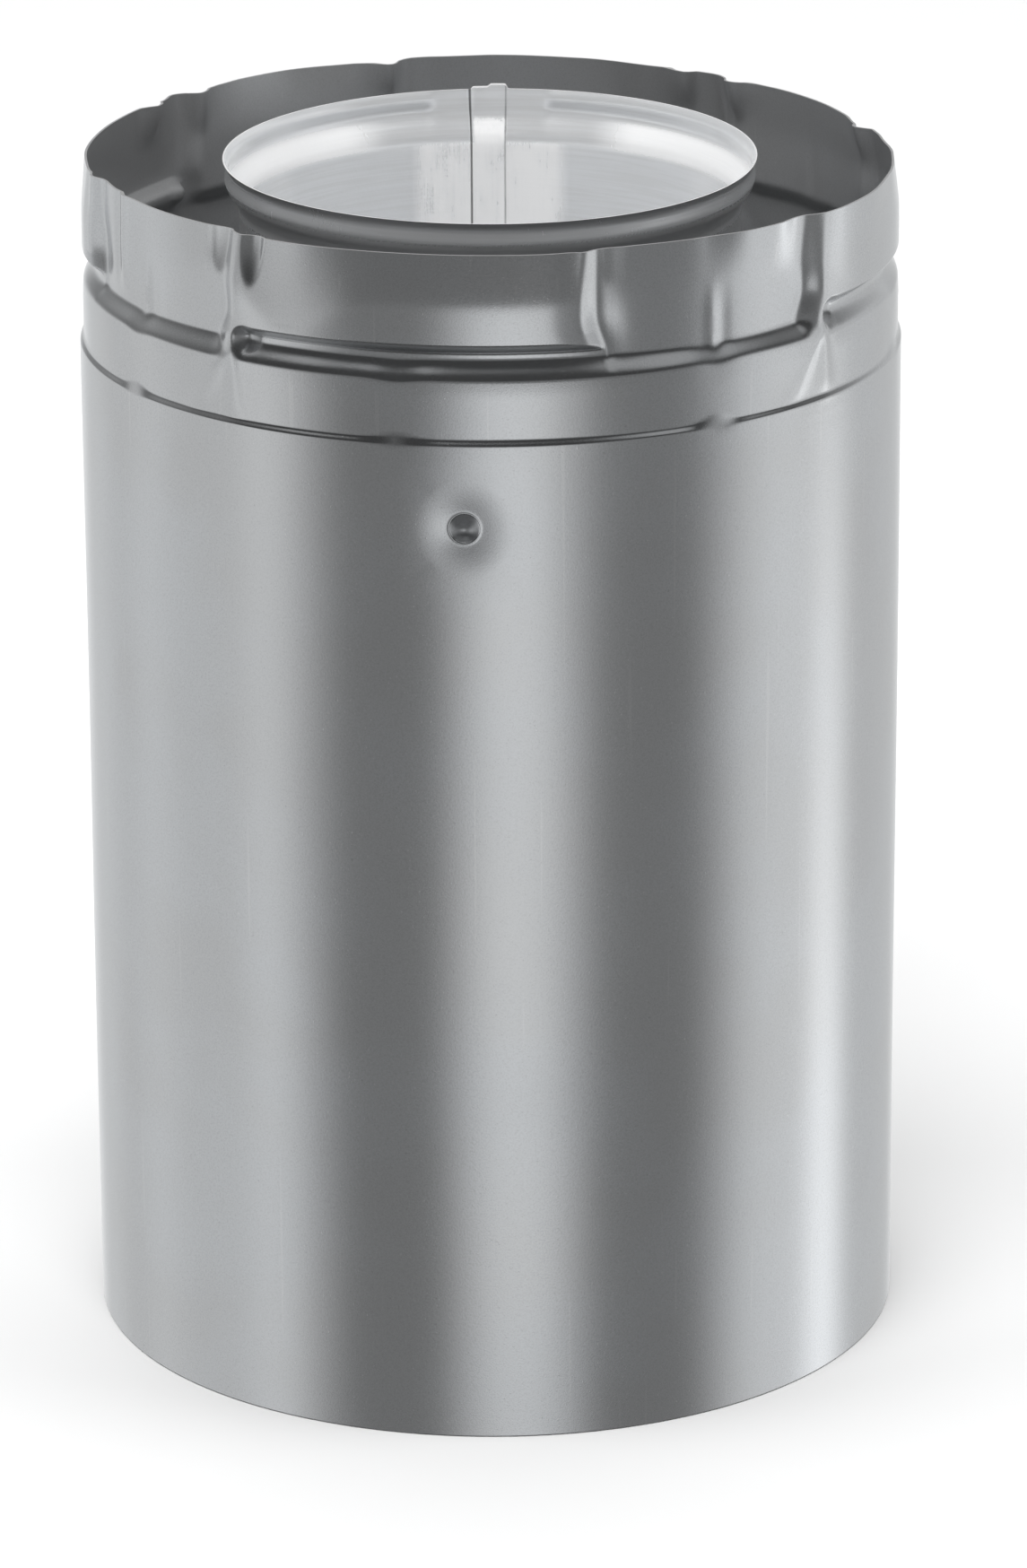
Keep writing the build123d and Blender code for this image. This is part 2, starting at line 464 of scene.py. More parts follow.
casing_sheet = 0.46
casing_inside = inner_side(casing_outside, casing_sheet)
print("sheet at the front rim:", round(float(casing_outside(0, 240) - casing_inside(0, 240)), 3), "mm")

# %% [markdown]
# ## Points where they are needed
# A plain stretch of wall needs few points, and a bend needs many. So the mesh is a grid with
# uneven spacing: close lines at the slot walls, the grooves and the shoulder, wide ones elsewhere.
# The wall below the collar has a grid of its own, and a strip of triangles zips the two together.

# %% A mesh that grows
class Skin:
    """Points and faces of one sheet. Each method hands back the numbers of the points it added."""

    def __init__(self):
        self.points = []
        self.faces = []
        self.count = 0
        self.marks = []

    def add(self, surface, angle, height):
        """Adds points of a height map, given their angles and heights in millimetres."""
        angle, height = np.broadcast_arrays(np.asarray(angle, float), np.asarray(height, float))
        radius = surface(angle, height)
        turn = np.radians(angle)
        points = np.stack([radius * np.sin(turn), -radius * np.cos(turn), height], axis=-1)
        self.points.append(points.reshape(-1, 3) * MM)
        numbers = np.arange(self.count, self.count + angle.size).reshape(angle.shape)
        self.count += angle.size
        return numbers

    def band(self, lower, upper):
        """Quads between two closed rows with as many points."""
        quads = np.stack([lower, np.roll(lower, -1), np.roll(upper, -1), upper], axis=-1)
        self.faces.extend(quads.tolist())

    def zip_rows(self, lower, lower_angles, upper, upper_angles):
        """Triangles between two closed rows that have different numbers of points."""
        i = j = 0
        low = np.append(lower_angles, lower_angles[0] + 360)
        high = np.append(upper_angles, upper_angles[0] + 360)
        while i < len(lower) or j < len(upper):
            a, b = lower[i % len(lower)], upper[j % len(upper)]
            take_low = j == len(upper) or (
                i < len(lower) and low[i + 1] - low[0] <= high[j + 1] - high[0]
            )
            if take_low:
                i += 1
                self.faces.append([a, lower[i % len(lower)], b])
            else:
                j += 1
                self.faces.append([a, upper[j % len(upper)], b])

    def mark(self, finish):
        """Faces added from here on get this finish: 0 outside, 1 inside, 2 cut edge."""
        self.marks.append((len(self.faces), finish))
        return len(self.faces)

    def turn_inside_out(self, start):
        """Flips the faces from a given one on, so that they look towards the axis."""
        self.faces[start:] = [face[::-1] for face in self.faces[start:]]

    def make(self, name, sharp_degrees=60):
        """Makes the Blender object."""
        mesh = bpy.data.meshes.new(name)
        mesh.from_pydata(np.concatenate(self.points).tolist(), [], self.faces)
        mesh.update()
        finishes = np.zeros(len(mesh.polygons), np.int32)
        for start, finish in self.marks:
            finishes[start:] = finish
        mesh.polygons.foreach_set("material_index", finishes)
        mesh.shade_smooth()
        mesh.set_sharp_from_angle(angle=math.radians(sharp_degrees))
        piece = bpy.data.objects.new(name, mesh)
        bpy.context.scene.collection.objects.link(piece)
        print(f"{name}: {len(mesh.vertices)} points, {len(mesh.polygons)} faces")
        return piece


# %% [markdown]
# A round dish can't be made from a square grid without jagged edges. The usual cure is to leave a
# square window in the grid and fill it with rings: the outer ring has the window's own points, and
# each ring inside it is rounder and smaller, down to a single point in the middle.

# %% Windows with rings for the buttons
window_half_cells = 8
window_rings = (
    10.2, 9.0, 8.0, 7.0, 6.0, 5.2, 4.5, 4.0, 3.65, 3.42, 3.27, 3.16,
    3.07, 2.98, 2.9, 2.82, 2.73, 2.6, 2.4, 2.1, 1.7, 1.2, 0.6,
)


def window_border(numbers, column, row):
    """The points round a square window in a grid, anticlockwise from its lower left corner."""
    half = window_half_cells
    columns = np.arange(column - half, column + half + 1) % numbers.shape[1]
    rows = np.arange(row - half, row + half + 1)
    bottom = numbers[rows[0], columns[:-1]]
    right = numbers[rows[:-1], columns[-1]]
    top = numbers[rows[-1], columns[:0:-1]]
    left = numbers[rows[:0:-1], columns[0]]
    return np.concatenate([bottom, right, top, left])


def ring_patch(skin, surface, border, middle_angle, middle_height):
    """Fills a window with shrinking rings and a middle point."""
    half = window_half_cells
    side = np.arange(-half, half)
    across = np.concatenate([side, np.full(2 * half, half), -side, np.full(2 * half, -half)])
    upward = np.roll(across, 2 * half)
    direction = np.arctan2(upward, across)
    outer = border
    for radius in window_rings:
        angle = middle_angle + radius * np.cos(direction) / arc_mm
        inner = skin.add(surface, angle, middle_height + radius * np.sin(direction))
        skin.band(outer, inner)
        outer = inner
    middle = int(skin.add(surface, [middle_angle], [middle_height])[0])
    skin.faces.extend([int(a), int(b), middle] for a, b in zip(outer, np.roll(outer, -1)))


print(f"{len(window_rings)} rings for each button")

# %% [markdown]
# Now the casing is put together: wall and collar outside, the same again inside, then the two cut
# rims. The inside of the collar is seen only in its own shade, so it does with half the lines.
# Both sides are laid by one function, which is handed the height map of its side.

# %% Where the grid lines run
quarter = stops(
    (-0.8, 4.4, 0.35), (4.4, 16, 1.1), (16, 24, 0.5), (24, 34.6, 1.0),
    (34.6, 46.5, 0.34), (46.5, 84, 1.3), (84, 89.2, 0.7),
)
slot_starts = slot_angle - slot_half + slot_pitch * np.arange(slot_count)
collar_angles = np.sort((slot_starts[:, None] + quarter).ravel() % 360)
collar_heights = np.append(stops(
    (206.6, 209.4, 0.9), (209.4, 212.6, 0.2), (212.6, 222, 0.7),
    (222, 229.2, 0.32), (229.2, 231.6, 0.16), (231.6, 233, 0.35), (233, 240, 0.7), (240, 247, 0.9),
    (247, casing_height, 0.35),
), casing_height)
button_column = 1.0
button_row = 1.5
window_reach = window_half_cells * button_row
wall_angles = np.sort((button_angles[0] + np.arange(0, 360, button_column)) % 360)
wall_heights = np.concatenate([
    stops((0, 1, 0.5), (1, 168, 9.0), (168, button_height - window_reach, 2.6)),
    button_height + button_row * np.arange(-window_half_cells, window_half_cells + 1),
])
button_rows = len(wall_heights) - 1 - window_half_cells
print(len(collar_angles), "by", len(collar_heights), "lines on the collar")
print(len(wall_angles), "by", len(wall_heights), "lines on the wall")

# %% One side of the casing
def button_windows():
    """The column of the wall's grid where each button sits."""
    return [int(np.argmin(np.abs(around(wall_angles, middle)))) for middle in button_angles]


def lay_grid(skin, numbers, windows=(), row=0):
    """Faces for a whole grid of points, leaving square windows open."""
    rows, columns = numbers.shape
    covered = np.ones((rows - 1, columns), bool)
    for column in windows:
        cells = np.arange(column - window_half_cells, column + window_half_cells) % columns
        covered[row - window_half_cells:row + window_half_cells, cells] = False
    ahead = np.roll(numbers, -1, axis=1)
    quads = np.stack([numbers[:-1], ahead[:-1], ahead[1:], numbers[1:]], axis=-1)
    skin.faces.extend(quads[covered].tolist())


def casing_side(skin, surface, thinning=1):
    """Lays one side of the casing and hands back its bottom and top rows."""
    wall = skin.add(surface, wall_angles[None, :], wall_heights[:, None])
    windows = button_windows()
    lay_grid(skin, wall, windows, button_rows)
    for column, middle in zip(windows, button_angles):
        ring_patch(skin, surface, window_border(wall, column, button_rows), middle, button_height)
    angles = collar_angles[::thinning]
    heights = np.append(collar_heights[:-1:thinning], casing_height)
    collar = skin.add(surface, angles[None, :], heights[:, None])
    lay_grid(skin, collar)
    skin.zip_rows(wall[-1], wall_angles, collar[0], angles)
    return wall[0], collar[-1], angles


# %% The casing
def roll_casing():
    """Outside, inside and the two cut rims."""
    skin = Skin()
    outer_foot, outer_rim, outer_angles = casing_side(skin, casing_outside)
    turned = skin.mark(1)
    inner_foot, inner_rim, inner_angles = casing_side(skin, casing_inside, thinning=2)
    skin.turn_inside_out(turned)
    skin.mark(2)
    skin.zip_rows(inner_foot, wall_angles, outer_foot, wall_angles)
    skin.zip_rows(outer_rim, outer_angles, inner_rim, inner_angles)
    return skin.make("casing")


casing = roll_casing()
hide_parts("outer_pipe")
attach(casing, "root")

# %% [markdown]
# ## The flue pipe
# The flue is thinner and softer than the casing. Its mouth is flared into a bell: a smooth cone with
# a bead rolled in just under the rim. The bell was rolled last, so it isn't quite round or level.
# A height map suits it as well, with one profile for the bell and a few slow waves on top.

# %% The bell of the flue
flue_radius = 51.4
flue_sheet = 0.3
spigot_step = 0.45
spigot_length = 28.0
spigot_top = flue_foot + spigot_length
seam_angle = 180.0
seam_half = 3.9
bell_drops = (-1.0, 0.0, 0.9, 1.9, 2.9, 4.2, 5.6, 7.4, 9.2, 10.6, 12.0)
bell_flares = (3.35, 3.2, 2.75, 2.5, 2.68, 2.9, 2.45, 1.35, 0.42, 0.08, 0.0)
plain_flares = (3.35, 3.2, 3.05, 2.9, 2.7, 2.4, 1.95, 1.2, 0.45, 0.1, 0.0)
seam_flat_half = 13.0


def smooth_line(position, stations, values):
    """A smooth curve through stations, with flat ends."""
    stations, values = np.array(stations), np.array(values)
    tangents = np.gradient(values, stations)
    right = np.clip(np.searchsorted(stations, position, side="right"), 1, len(stations) - 1)
    width = stations[right] - stations[right - 1]
    t = np.clip((position - stations[right - 1]) / width, 0, 1)
    a, b = values[right - 1], values[right]
    lead = t * (1 - t) ** 2 * width * tangents[right - 1] - t**2 * (1 - t) * width * tangents[right]
    return a + (b - a) * t * t * (3 - 2 * t) + lead


def flue_core(angle, height):
    """Distance from the axis to the flue's wall, without the seam."""
    drop = flue_top - height
    beaded = smooth_line(drop, bell_drops, bell_flares)
    plain = smooth_line(drop, bell_drops, plain_flares)
    by_seam = ease((seam_flat_half + 1.5 - np.abs(around(angle, seam_angle))) / 3.0)
    flare = beaded + (plain - beaded) * by_seam
    spigot = spigot_step * ease((spigot_top - height + 1) / 2)
    turn = np.radians(angle)
    waves = 0.05 * np.sin(4 * turn + height / 19) + 0.22 * ease((height - 215) / 30) * np.cos(2 * turn + 0.6)
    return flue_radius + flare - spigot + waves


print(f"bell flares by {max(bell_flares[1:])} mm")

# %% [markdown]
# The flue is closed by a lock seam: both edges are hooked into each other and pressed flat. So the
# outside has a raised band, and the inside has the slit where one edge tucks under the other. At
# the rim the folded layers stand slightly proud.

# %% The lock seam
fold_height = 0.85
slit_angle = 184.3


def flue_outside(angle, height):
    """Outside of the flue with the folded band."""
    across = np.abs(around(angle, seam_angle))
    return flue_core(angle, height) + fold_height * bend((seam_half - across) / 0.5 + 0.5)


def flue_inside(angle, height):
    """Inside of the flue with the slit and the pressed band beside it."""
    drop = flue_top - height
    across = around(angle, slit_angle)
    width = 0.22 + 0.55 * ease(1 - drop / 12)
    slit = 0.42 * bump(across / width, 1)
    band = 0.26 * bend((seam_half - np.abs(around(angle, seam_angle + 0.3))) / 0.45 + 0.5)
    return inner_side(flue_core, flue_sheet)(angle, height) + slit - band


def flue_lift(angle, height):
    """The rim isn't level, and the folded layers of the seam stand up."""
    near_rim = ease((height - 222) / 24)
    turn = np.radians(angle)
    tab = 0.35 * bend((seam_half - np.abs(around(angle, seam_angle))) / 0.5 + 0.5)
    tab = tab + 0.55 * bend((1.9 - np.abs(around(angle, 178.2))) / 0.6 + 0.5)
    tilt = near_rim * (0.25 * np.cos(turn) + 0.12 * np.sin(2 * turn))
    return height - tilt + tab * ease((height - 243) / 4)


flue_angles = np.sort(stops(
    (0, 165, 1.5), (165, 174.5, 0.75), (174.5, 186.5, 0.16), (186.5, 195, 0.75), (195, 360, 1.5),
))
flue_heights = np.append(stops(
    (flue_foot, 32, 6), (32, 36, 0.8), (36, 222, 9.3), (222, 235, 1.3), (235, flue_top, 0.34),
), flue_top)
print(len(flue_angles), "by", len(flue_heights), "lines on the flue")

# %% The flue
def flue_side(skin, surface):
    """Lays one side of the flue with its uneven rim."""
    angle, height = np.broadcast_arrays(flue_angles[None, :], flue_heights[:, None])
    numbers = skin.add(surface, angle, height)
    skin.points[-1][:, 2] = flue_lift(angle, height).ravel() * MM
    lay_grid(skin, numbers)
    return numbers


def roll_flue():
    """Outside, inside and the two cut rims of the flue."""
    skin = Skin()
    outer = flue_side(skin, flue_outside)
    turned = skin.mark(1)
    inner = flue_side(skin, flue_inside)
    skin.turn_inside_out(turned)
    skin.mark(2)
    skin.band(inner[0], outer[0])
    skin.band(outer[-1], inner[-1])
    return skin.make("flue")


flue = roll_flue()
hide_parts("inner_pipe")
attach(flue, "root")

# %% [markdown]
# ## The three straps
# A strap is a flat strip bent like a hat: its crown lies under a button of the casing, and its two
# feet lie on the flue. The solid model has it with an even crown, but a clinch presses both sheets
# together. So the strip is rolled again along its path here, and its crown follows the casing.

# %% The strap's path
strap_sheet = 0.6
strap_gap = 0.08
strap_bend = 2.5
pressed_from, pressed_reach = 70, 8
crown_half, leg_half, toe_half = 9.0, 11.0, 20.0
strap_low, strap_high = (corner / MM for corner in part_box("standoff_strap_1"))


def from_axis(radius, angle):
    """A point seen from above: how far out and how far aside."""
    return radius * np.array([math.cos(math.radians(angle)), math.sin(math.radians(angle))])


def rounded(before, corner, after, steps=6):
    """Points of a bend that replaces a sharp corner."""
    share = np.linspace(0, 1, steps)[:, None]
    return (1 - share) ** 2 * before + 2 * share * (1 - share) * corner + share**2 * after


def strap_path():
    """The middle line of the strap, from one toe over the crown to the other."""
    crown = body_radius - casing_sheet - strap_gap - strap_sheet / 2
    foot = flue_radius + strap_gap + strap_sheet / 2
    knee, shoulder_point = from_axis(foot, leg_half), from_axis(crown, crown_half)
    leg = (shoulder_point - knee) / np.linalg.norm(shoulder_point - knee)
    knee_turn, shoulder_turn = (math.degrees(strap_bend / radius) for radius in (foot, crown))
    half = [from_axis(crown, turn) for turn in np.arange(0, crown_half - shoulder_turn, 0.5)]
    bend_start = from_axis(crown, crown_half - shoulder_turn)
    half += list(rounded(bend_start, shoulder_point, shoulder_point - strap_bend * leg))
    half += list(rounded(knee + strap_bend * leg, knee, from_axis(foot, leg_half + knee_turn)))
    half += [from_axis(foot, turn) for turn in np.linspace(leg_half + knee_turn, toe_half, 8)[1:]]
    half = np.array(half)
    return np.concatenate([half[:0:-1] * (1, -1), half])


print(len(strap_path()), "points along a strap")

# %% The straps
def bend_strap(name, middle_angle):
    """A strap under one button."""
    path = strap_path()
    along = np.gradient(path, axis=0)
    along /= np.linalg.norm(along, axis=1)[:, None]
    outward = np.stack([along[:, 1], -along[:, 0]], axis=1) * strap_sheet / 2
    loop = np.concatenate([path + outward, (path - outward)[::-1]])
    heights = stops((strap_low.z, button_height - 4, 1.1), (button_height - 4, button_height + 4, 0.5),
                    (button_height + 4, strap_high.z, 1.1))
    heights = np.append(heights, strap_high.z)[:, None]
    angles = middle_angle + np.degrees(np.arctan2(loop[:, 1], loop[:, 0]))[None, :]
    radius = np.hypot(loop[:, 0], loop[:, 1])[None, :]
    pressed = body_radius - casing_sheet - casing_inside(angles, heights)
    radius = radius - pressed * ease((loop[:, 0] - pressed_from) / pressed_reach)[None, :]
    skin = Skin()
    numbers = skin.add(lambda angle, height: radius, angles, heights)
    lay_grid(skin, numbers)
    for row, step in ((numbers[-1], 1), (numbers[0], -1)):
        outer, inner = row[:len(path)], row[len(path):][::-1]
        quads = np.stack([outer[:-1], outer[1:], inner[1:], inner[:-1]], axis=-1)[:, ::step]
        skin.faces.extend(quads.tolist())
    return skin.make(name, 50)


straps = [bend_strap(f"strap_{number}", middle) for number, middle in enumerate(button_angles, 1)]
for number, strap in enumerate(straps, 1):
    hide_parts(f"standoff_strap_{number}")
    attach(strap, "root")

# %% [markdown]
# ## Finishes made from nodes
# Every finish is a small tree of nodes. Building them by hand in Python gets long, so a tiny helper
# keeps each step to one line: it adds a node, sets its values and plugs in what it is given.

# %% A helper for node trees
class Recipe:
    """A node tree that is built line by line."""

    def __init__(self, tree):
        self.tree = tree
        self.tree.nodes.clear()

    def plug(self, target, value):
        """A socket is linked to the input, and anything else is set as its value."""
        if isinstance(value, bpy.types.NodeSocket):
            self.tree.links.new(value, target)
        else:
            target.default_value = value

    def node(self, kind, settings=None, **inputs):
        """Adds a node. Inputs are given by name, with _ for a space, or by number, as i0."""
        made = self.tree.nodes.new(kind)
        for key, value in (settings or {}).items():
            setattr(made, key, value)
        for key, value in inputs.items():
            by_number = key[0] == "i" and key[1:].isdigit()
            self.plug(made.inputs[int(key[1:]) if by_number else key.replace("_", " ")], value)
        return made

    def math(self, operation, a, b=0.0, c=0.0):
        """One arithmetic step."""
        return self.node("ShaderNodeMath", {"operation": operation}, i0=a, i1=b, i2=c).outputs[0]

    def times(self, a, b):
        """One number times another."""
        return self.math("MULTIPLY", a, b)

    def fade(self, value, start, end, low=0.0, high=1.0):
        """low before start and high after end, with a smooth passage."""
        made = self.node("ShaderNodeMapRange", {"interpolation_type": "SMOOTHSTEP"}, Value=value)
        for key, number in (("From Min", start), ("From Max", end), ("To Min", low), ("To Max", high)):
            made.inputs[key].default_value = number
        return made.outputs["Result"]

    def noise(self, place, scale, detail=2.0, roughness=0.5, distortion=0.0):
        """Soft random values between 0 and 1."""
        return self.node(
            "ShaderNodeTexNoise", None, Vector=place, Scale=scale, Detail=detail, Roughness=roughness,
            Distortion=distortion,
        ).outputs["Fac"]

    def stretched(self, place, x, y, z):
        """The same place with its axes scaled, to draw grain out into lines."""
        return self.node("ShaderNodeMapping", None, Vector=place, Scale=(x, y, z)).outputs["Vector"]

    def mix(self, share, first, second):
        """A blend of two colours."""
        made = self.node("ShaderNodeMix", {"data_type": "RGBA"})
        for index, value in ((0, share), (6, first), (7, second)):
            self.plug(made.inputs[index], value)
        return made.outputs[2]

    def metal(self, colour, mirror, rough, relief, strength, distance):
        """The metal itself: mirror is the share of light that isn't scattered, relief its bumps."""
        bumps = self.node("ShaderNodeBump", None, Strength=strength, Distance=distance, Height=relief)
        shader = self.node(
            "ShaderNodeBsdfPrincipled", None, Base_Color=colour, Metallic=mirror, Roughness=rough,
            Normal=bumps.outputs["Normal"],
        )
        self.node("ShaderNodeOutputMaterial", None, Surface=shader.outputs["BSDF"])


def new_finish(name):
    """An empty material and its recipe."""
    material = bpy.data.materials.new(name)
    material.use_nodes = True
    return material, Recipe(material.node_tree)


def grey(level, blue=0.0):
    """A grey with a hint of blue."""
    return (level * (1 - 0.5 * blue), level, level * (1 + 0.6 * blue), 1.0)


# %% [markdown]
# ## Galvanised steel
# Hot-dipped zinc sheet that has been rolled smooth is a satin mirror. It has no printed colour: it
# looks dark or bright because of what it reflects. What makes it zinc is a very fine grain, tiny
# pale and dark specks, slow cloudy patches of haze, and a few hairline scratches from handling.
# Those go into roughness and bump and only a little into the colour. Where a punch or a die rubbed
# the sheet it turned matt: in the bowls of the buttons, round the stops and over the grooves.

# %% Where a punch left the zinc matt
def near_marks(recipe, place, first, pitch, height, inner, outer):
    """1 at marks that repeat round the pipe at one height, 0 beyond. The limits are in millimetres."""
    east, north, up = recipe.node("ShaderNodeSeparateXYZ", None, Vector=place).outputs
    turn = recipe.math("DEGREES", recipe.math("ARCTAN2", east, recipe.times(north, -1.0)))
    turned = recipe.math("WRAP", recipe.math("SUBTRACT", turn, first), pitch / 2, -pitch / 2)
    across = recipe.times(turned, arc_mm)
    upward = recipe.math("MULTIPLY_ADD", up, 1 / MM, -height)
    squares = recipe.math("MULTIPLY_ADD", across, across, recipe.times(upward, upward))
    return recipe.fade(recipe.math("SQRT", squares), outer, inner)


def upper_flanks(recipe, place):
    """1 on the upper flanks of the grooves, where the tool dragged over the sheet."""
    flat = recipe.stretched(place, 1, 1, 0)
    radius = recipe.node("ShaderNodeVectorMath", {"operation": "LENGTH"}, i0=flat).outputs["Value"]
    up = recipe.node("ShaderNodeSeparateXYZ", None, Vector=place).outputs[2]
    middle = (casing_height - groove_middle + 2.6) * MM
    level = recipe.fade(recipe.math("ABSOLUTE", recipe.math("SUBTRACT", up, middle)), 0.0022, 0.0014)
    inside_land = recipe.fade(radius, 0.0833, 0.0830)
    between = recipe.times(inside_land, recipe.fade(radius, 0.0808, 0.0811))
    return recipe.times(level, between)


# %% The zinc finish
def zinc_finish(name, tone, haze, mirror=1.0):
    """Satin zinc: tone is how much light it returns, haze how blurred, mirror the share not scattered."""
    material, recipe = new_finish(name)
    place = recipe.node("ShaderNodeTexCoord").outputs["Object"]
    clouds = recipe.noise(place, 22.0, 3.0, 0.55)
    grain = recipe.noise(place, 2900.0, 2.0, 0.65)
    specks = recipe.fade(recipe.noise(place, 2300.0, 1.0, 0.5), 0.68, 0.80)
    pits = recipe.fade(recipe.noise(place, 2000.0, 1.0, 0.5), 0.70, 0.80)
    drawn = recipe.stretched(place, 900.0, 900.0, 16.0)
    hairlines = recipe.fade(recipe.noise(drawn, 1.0, 0.0, 0.4), 0.79, 0.84)
    cloudy = recipe.mix(recipe.fade(clouds, 0.35, 0.65), grey(tone * 0.97, 0.02), grey(tone * 1.03, 0.04))
    dark_grain = recipe.times(recipe.fade(grain, 0.58, 0.34), 0.34)
    base = recipe.mix(dark_grain, cloudy, grey(tone * 0.78, 0.02))
    speckled = recipe.mix(recipe.times(specks, 0.4), base, grey(min(1.0, tone * 1.25)))
    pitted = recipe.mix(recipe.times(pits, 0.3), speckled, grey(tone * 0.55))
    scratched = recipe.mix(recipe.times(hairlines, 0.22), pitted, grey(min(1.0, tone * 1.2)))
    rough = recipe.math("MULTIPLY_ADD", clouds, 0.08, haze - 0.04)
    rougher = recipe.math("MULTIPLY_ADD", grain, 0.05, rough)
    bowls = near_marks(recipe, place, button_angles[0], 120.0, button_height, 2.7, 3.0)
    balls = near_marks(recipe, place, stop_angle, slot_pitch, casing_height - groove_middle, 2.2, 4.0)
    matt = recipe.math("MULTIPLY_ADD", balls, 0.14, recipe.math("MULTIPLY_ADD", bowls, 0.20, rougher))
    matt = recipe.math("MULTIPLY_ADD", upper_flanks(recipe, place), 0.16, matt)
    relief = recipe.math("ADD", recipe.times(grain, 0.5), recipe.times(specks, 0.5))
    recipe.metal(scratched, mirror, matt, relief, 0.12, 0.00015)
    return material


zinc = zinc_finish("galvanised zinc", 0.68, 0.18)
# The inside is the same zinc with a darker tone: painted shade for the inside of the casing, besides its
# rougher, more scattering surface.
darker_inner_zinc = zinc_finish("darker inner zinc", 0.50, 0.32, 0.62)
strap_zinc = zinc_finish("strap zinc", 0.58, 0.3)
print("finishes:", zinc.name, "and", darker_inner_zinc.name)

# %% [markdown]
# A cut edge isn't polished by the rolls. It is rough and bright and scatters light, which is why
# the rims read as thin white lines in any light.

# %% The cut edge finish
def edge_finish(name, tone, mirror):
    """Bright sheared metal."""
    material, recipe = new_finish(name)
    place = recipe.node("ShaderNodeTexCoord").outputs["Object"]
    torn = recipe.noise(place, 800.0, 2.0, 0.6)
    colour = recipe.mix(torn, grey(tone * 0.85), grey(tone))
    recipe.metal(colour, mirror, 0.42, torn, 0.3, 0.0001)
    return material


def finish_sheet(piece, outside, inside, edge):
    """The finishes of a sheet's two sides and of its cut rims."""
    for finish in (outside, inside, edge):
        piece.data.materials.append(finish)
    print(piece.name, "has", [finish.name for finish in piece.data.materials])


cut_zinc = edge_finish("cut zinc edge", 0.72, 0.92)
finish_sheet(casing, zinc, darker_inner_zinc, cut_zinc)

# %% [markdown]
# ## Mill aluminium
# The flue is mill-finish aluminium: paler than zinc and softer. The seaming rolls scuffed it in
# streaks beside the seam, and the flaring tool rubbed the cone of the bell. Scuffed metal scatters
# light, so it looks white where the light falls in, and the rest stays a calm grey. Two thin dark
# lines of painted shade follow the edges of the folded band, where one layer ends on the next: the
# colour is darkened there as if the slit and the step lay in shadow.

# %% The aluminium finish
def turn_from_seam(recipe, place):
    """Degrees round the pipe from the middle of the seam at the back."""
    east, north, _ = recipe.node("ShaderNodeSeparateXYZ", None, Vector=place).outputs
    return recipe.math("DEGREES", recipe.math("ARCTAN2", east, north))


def beside_seam(recipe, place, inner, outer):
    """1 beside the lock seam and 0 elsewhere. The limits are in degrees."""
    return recipe.fade(recipe.math("ABSOLUTE", turn_from_seam(recipe, place)), outer, inner)


def seam_shade_line(recipe, place, degrees, half_width):
    """1 on a thin line along the flue, at so many degrees to one side of the seam's middle: where the dark
    lines of painted shade go.
    """
    away = recipe.math("ABSOLUTE", recipe.math("SUBTRACT", turn_from_seam(recipe, place), degrees))
    return recipe.fade(away, half_width, half_width * 0.3)


def aluminium_finish(name, tone, haze, mirror, scuffing):
    """Mill aluminium; mirror is the share of light that isn't scattered, scuffing how worn it is."""
    material, recipe = new_finish(name)
    place = recipe.node("ShaderNodeTexCoord").outputs["Object"]
    lengthwise = recipe.noise(recipe.stretched(place, 1500.0, 1500.0, 70.0), 1.0, 4.0, 0.7, 0.2)
    crosswise = recipe.noise(recipe.stretched(place, 45.0, 45.0, 1500.0), 1.0, 2.0, 0.5, 0.3)
    clouds = recipe.noise(place, 130.0, 4.0, 0.65)
    worn = recipe.math("MULTIPLY_ADD", lengthwise, 0.5, recipe.times(clouds, 0.5))
    up = recipe.node("ShaderNodeSeparateXYZ", None, Vector=place).outputs[2]
    drop = recipe.math("MULTIPLY_ADD", up, -1 / MM, flue_top)
    rolled = recipe.times(beside_seam(recipe, place, 14.5, 19.5), recipe.fade(drop, 9.9, 11.0))
    cone = recipe.times(recipe.fade(drop, 4.4, 5.6), recipe.fade(drop, 11.4, 10.0))
    rubbed = recipe.times(cone, beside_seam(recipe, place, 36.0, 22.0))
    band = recipe.times(beside_seam(recipe, place, 3.2, 4.2), recipe.fade(drop, 4.8, 6.5))
    pressed = recipe.math("MAXIMUM", rolled, band)
    patches = recipe.times(pressed, recipe.fade(worn, 0.24, 0.54))
    scuffed = recipe.math("MAXIMUM", patches, recipe.times(rubbed, 0.8))
    scuffs = recipe.times(scuffed, scuffing)
    shiny = recipe.math("MULTIPLY_ADD", scuffs, -0.9 * mirror, mirror)
    grain = recipe.noise(place, 1500.0, 2.0, 0.6)
    base = recipe.mix(recipe.fade(crosswise, 0.35, 0.65), grey(tone * 0.94, 0.02), grey(tone, 0.03))
    colour = recipe.mix(scuffs, base, grey(min(0.97, tone * 1.2)))
    # Painted shade: the colour is darkened towards near black along the slit of the lock seam and along the
    # step at the band's other edge, as if they lay in shadow.
    for degrees, half_width, depth in ((-4.3, 0.34, 0.75), (3.6, 0.3, 0.45)):
        line = recipe.times(seam_shade_line(recipe, place, degrees, half_width), depth)
        colour = recipe.mix(line, colour, grey(0.1))
    rough = recipe.math("MULTIPLY_ADD", scuffs, 0.16, haze)
    rougher = recipe.math("MULTIPLY_ADD", worn, 0.12, rough)
    relief = recipe.math("MULTIPLY_ADD", crosswise, 0.7, recipe.times(grain, 0.4))
    recipe.metal(colour, shiny, rougher, relief, 0.16, 0.0002)
    return material


aluminium = aluminium_finish("mill aluminium", 0.80, 0.2, 0.72, 0.3)
